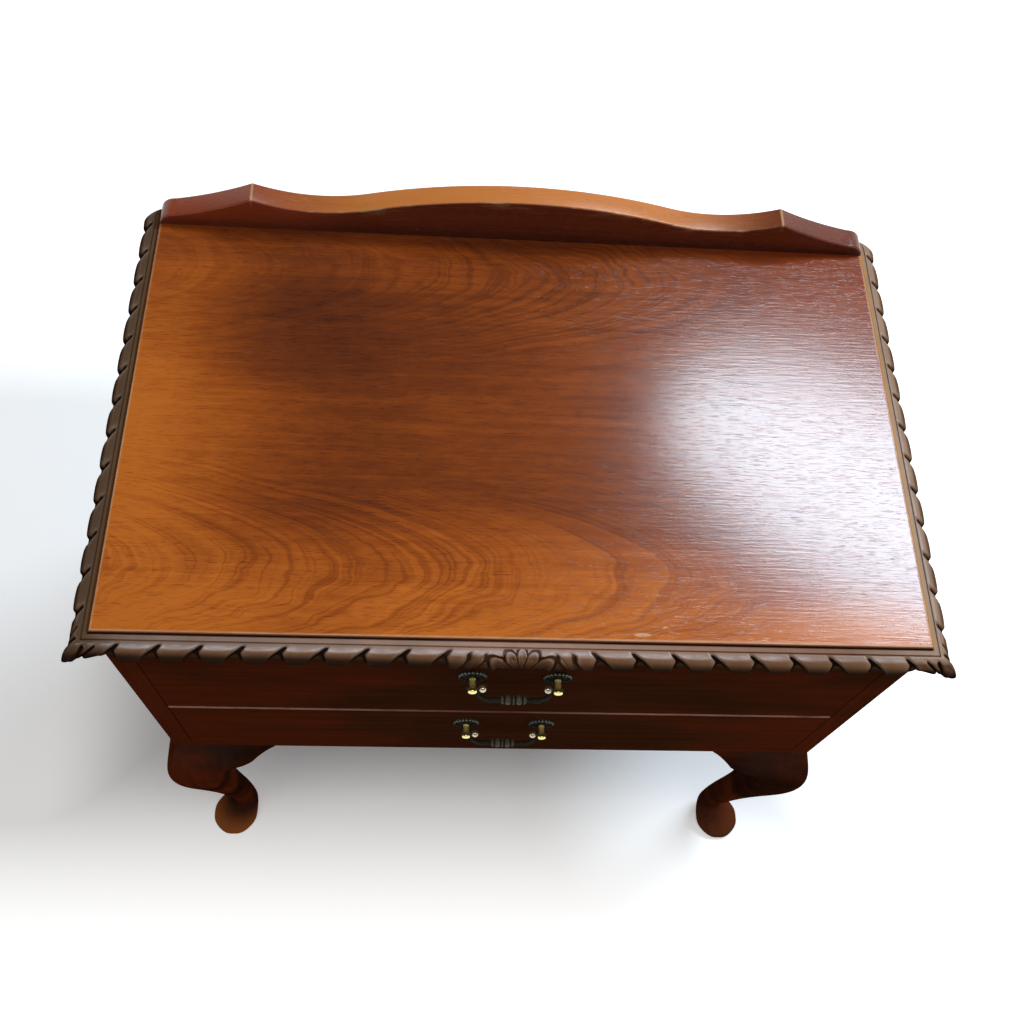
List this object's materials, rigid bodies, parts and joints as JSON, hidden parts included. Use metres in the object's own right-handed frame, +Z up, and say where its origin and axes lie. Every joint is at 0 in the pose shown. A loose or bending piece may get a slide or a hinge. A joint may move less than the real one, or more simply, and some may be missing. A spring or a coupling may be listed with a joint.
{
  "type": "nightstand",
  "caption": "Low wooden nightstand with stacked drawers in a plain case on cabriole legs, a veneered top edged with rope-carved moulding, and a shaped back gallery.",
  "frame": {"origin": "on the floor, under the middle of the whole object", "axes": "+Z up, +X to the right across the width, the drawers face -Y"},
  "size_m": [0.624, 0.4, 0.654],
  "materials": {
    "veneered_top": "gloss lacquered figured veneer",
    "carved_moulding": "dark satin stain over carving",
    "gallery_wood": "gloss lacquer with worn edges",
    "case_wood": "dark gloss lacquer",
    "leg_wood": "dark satin lacquer",
    "drawer_lining": "bare pale wood",
    "plywood": "bare plywood",
    "beech_dowel": "bare beech",
    "antique_bronze": "darkened antique finish with rubbed highlights",
    "polished_brass": "polished brass",
    "steel_fixings": "plain steel"
  },
  "bodies": {
    "case": {"back_gallery": "gallery_wood", "back_panel": "plywood", "back_panel_pins": "steel_fixings", "base_board": "case_wood", "gallery_screws": "steel_fixings", "kicker_left": "drawer_lining", "kicker_right": "drawer_lining", "knee_block_front_left": "leg_wood", "knee_block_front_right": "leg_wood", "knee_block_side_back_left": "leg_wood", "knee_block_side_back_right": "leg_wood", "knee_block_side_front_left": "leg_wood", "knee_block_side_front_right": "leg_wood", "leg_back_left": "leg_wood", "leg_back_right": "leg_wood", "leg_dowels": "beech_dowel", "leg_front_left": "leg_wood", "leg_front_right": "leg_wood", "rail_dowels": "beech_dowel", "rope_moulding_front": "carved_moulding", "rope_moulding_left": "carved_moulding", "rope_moulding_right": "carved_moulding", "runner_left": "drawer_lining", "runner_right": "drawer_lining", "runner_screws": "steel_fixings", "side_panel_left": "case_wood", "side_panel_right": "case_wood", "top_panel": "veneered_top", "top_rail_back": "drawer_lining", "top_rail_front": "case_wood", "top_screws": "steel_fixings"},
    "lower_drawer": {"lower_drawer_back": "drawer_lining", "lower_drawer_bottom": "plywood", "lower_drawer_bottom_screws": "steel_fixings", "lower_drawer_front": "case_wood", "lower_drawer_side_left": "drawer_lining", "lower_drawer_side_right": "drawer_lining", "lower_handle_nuts": "steel_fixings", "lower_handle_posts": "polished_brass", "lower_handle_rosettes": "antique_bronze"},
    "lower_bail": {"lower_handle_bail": "antique_bronze"},
    "upper_drawer": {"upper_drawer_back": "drawer_lining", "upper_drawer_bottom": "plywood", "upper_drawer_bottom_screws": "steel_fixings", "upper_drawer_front": "case_wood", "upper_drawer_side_left": "drawer_lining", "upper_drawer_side_right": "drawer_lining", "upper_handle_nuts": "steel_fixings", "upper_handle_posts": "polished_brass", "upper_handle_rosettes": "antique_bronze"},
    "upper_bail": {"upper_handle_bail": "antique_bronze"}
  },
  "joints": [
    {"name": "upper_drawer_slide", "type": "slide", "parent": "case", "child": "upper_drawer", "axis": [0, -1, 0], "range_m": [0, 0.26]},
    {"name": "lower_drawer_slide", "type": "slide", "parent": "case", "child": "lower_drawer", "axis": [0, -1, 0], "range_m": [0, 0.26]},
    {"name": "upper_bail_swing", "type": "hinge", "parent": "upper_drawer", "child": "upper_bail", "pos_m": [0, -0.1915, 0.546], "axis": [-1, 0, 0], "range_deg": [-15, 150]},
    {"name": "lower_bail_swing", "type": "hinge", "parent": "lower_drawer", "child": "lower_bail", "pos_m": [0, -0.1915, 0.421], "axis": [-1, 0, 0], "range_deg": [-15, 150]}
  ]
}
